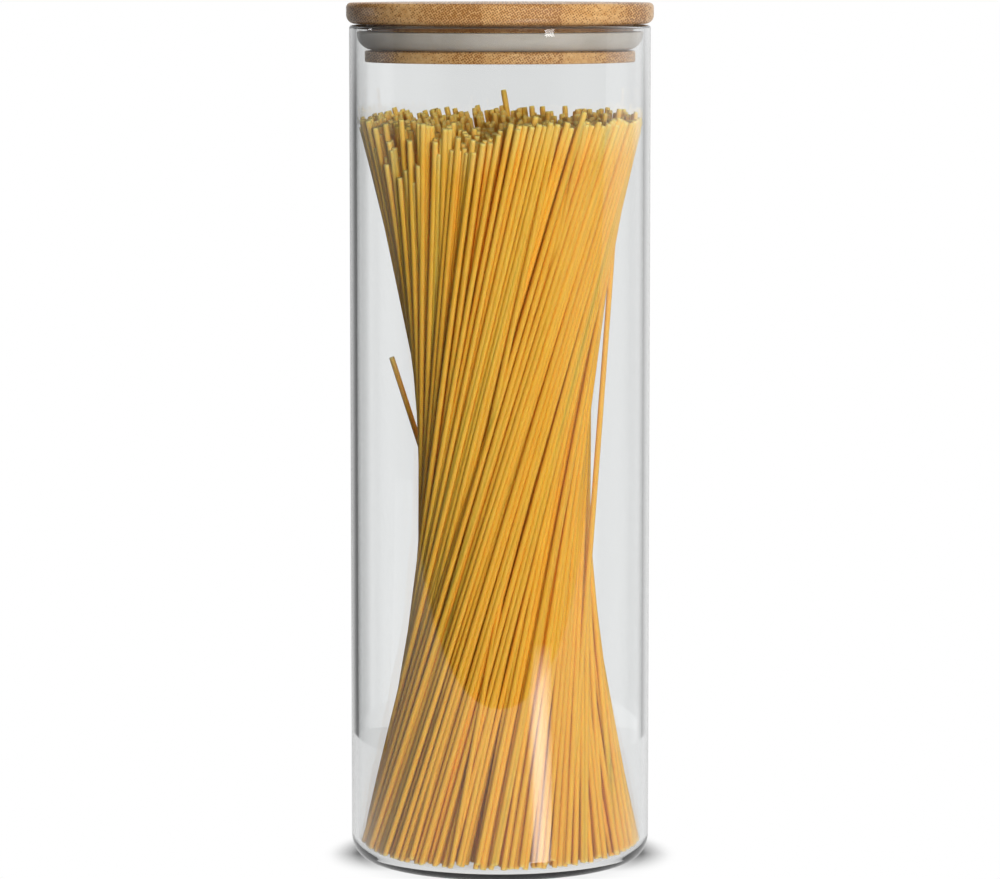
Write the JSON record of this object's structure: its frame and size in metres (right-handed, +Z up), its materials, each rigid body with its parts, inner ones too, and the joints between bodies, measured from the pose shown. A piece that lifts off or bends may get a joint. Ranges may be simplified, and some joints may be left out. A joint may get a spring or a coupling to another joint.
{
  "type": "food canister",
  "caption": "Tall straight-sided glass canister with a rounded foot, a turned bamboo plug lid with a silicone lip seal, and a twisted bundle of dry spaghetti inside.",
  "frame": {"origin": "centre of the jar's standing ring, on the surface that the canister stands on", "axes": "+Z up along the jar's own axis, through the lid's top face; -Y is the front, which faces the viewer; +X is to the right seen from the front"},
  "size_m": [0.105, 0.105, 0.295],
  "materials": {
    "clear_glass": "polished",
    "bamboo": "satin",
    "silicone": "satin",
    "dry_pasta": "satin"
  },
  "bodies": {
    "jar": {"glass_jar": "clear_glass"},
    "seal": {"seal_ring": "silicone"},
    "lid": {"bamboo_lid": "bamboo"},
    "spaghetti": {"spaghetti_core": "dry_pasta", "spaghetti_01": "dry_pasta", "spaghetti_02": "dry_pasta", "spaghetti_03": "dry_pasta", "spaghetti_04": "dry_pasta", "spaghetti_05": "dry_pasta", "spaghetti_06": "dry_pasta", "spaghetti_07": "dry_pasta", "spaghetti_08": "dry_pasta", "spaghetti_09": "dry_pasta", "spaghetti_10": "dry_pasta", "spaghetti_11": "dry_pasta", "spaghetti_12": "dry_pasta", "spaghetti_13": "dry_pasta", "spaghetti_14": "dry_pasta", "spaghetti_15": "dry_pasta", "spaghetti_16": "dry_pasta", "spaghetti_17": "dry_pasta", "spaghetti_18": "dry_pasta", "spaghetti_19": "dry_pasta", "spaghetti_20": "dry_pasta", "spaghetti_21": "dry_pasta", "spaghetti_22": "dry_pasta", "spaghetti_23": "dry_pasta", "spaghetti_24": "dry_pasta", "spaghetti_25": "dry_pasta", "spaghetti_26": "dry_pasta", "spaghetti_27": "dry_pasta", "spaghetti_28": "dry_pasta", "spaghetti_29": "dry_pasta", "spaghetti_30": "dry_pasta", "spaghetti_31": "dry_pasta", "spaghetti_32": "dry_pasta", "spaghetti_33": "dry_pasta", "spaghetti_34": "dry_pasta", "spaghetti_35": "dry_pasta", "spaghetti_36": "dry_pasta", "spaghetti_37": "dry_pasta", "spaghetti_38": "dry_pasta", "spaghetti_39": "dry_pasta", "spaghetti_40": "dry_pasta", "spaghetti_41": "dry_pasta", "spaghetti_42": "dry_pasta", "spaghetti_43": "dry_pasta", "spaghetti_44": "dry_pasta", "spaghetti_45": "dry_pasta", "spaghetti_46": "dry_pasta"}
  },
  "joints": [
    {"name": "lid_lift", "type": "slide", "parent": "jar", "child": "seal", "axis": [0, 0, 1], "range_m": [0, 0.13]},
    {"name": "lid_turn", "type": "hinge", "parent": "seal", "child": "lid", "pos_m": [0, 0, 0.283], "axis": [0, 0, 1], "continuous": true},
    {"name": "spaghetti_play", "type": "slide", "parent": "jar", "child": "spaghetti", "axis": [0, 0, 1], "range_m": [0, 0.009]}
  ]
}
